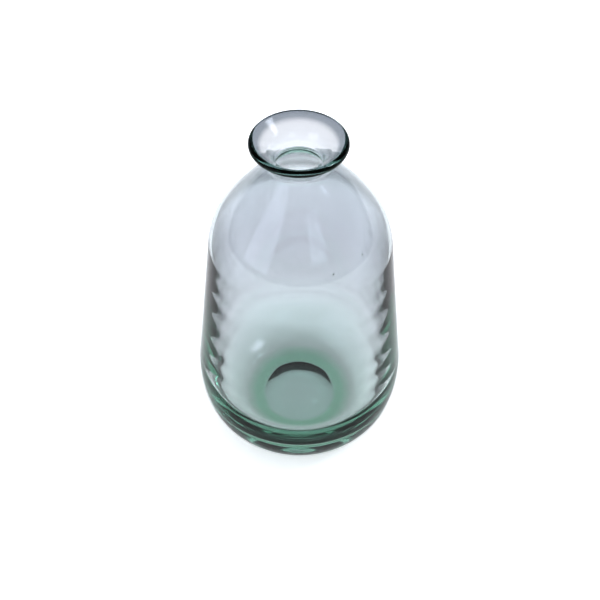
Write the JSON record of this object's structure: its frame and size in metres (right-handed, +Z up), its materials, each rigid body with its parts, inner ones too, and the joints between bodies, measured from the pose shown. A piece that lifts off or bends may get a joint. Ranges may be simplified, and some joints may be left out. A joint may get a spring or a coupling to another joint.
{
  "type": "glass bud vase",
  "caption": "Heavy-based glass bud vase: leaning round body, domed shoulder, short narrow neck and a flared, rounded lip, to hold a stem or two in water.",
  "frame": {"origin": "on the axis, at the level of the ring that the vase stands on", "axes": "+Z up along the axis of the vase, out through the mouth; +X and +Y are any two level directions, because the vase is round"},
  "size_m": [0.075, 0.075, 0.132],
  "materials": {
    "glass": "clear glass with a faint grey-green tint that deepens where it is thick; fire-polished, smooth, with slight ripples inside"
  },
  "bodies": {
    "root": {"base": "glass", "body": "glass", "shoulder": "glass", "neck": "glass", "lip": "glass"}
  },
  "joints": []
}
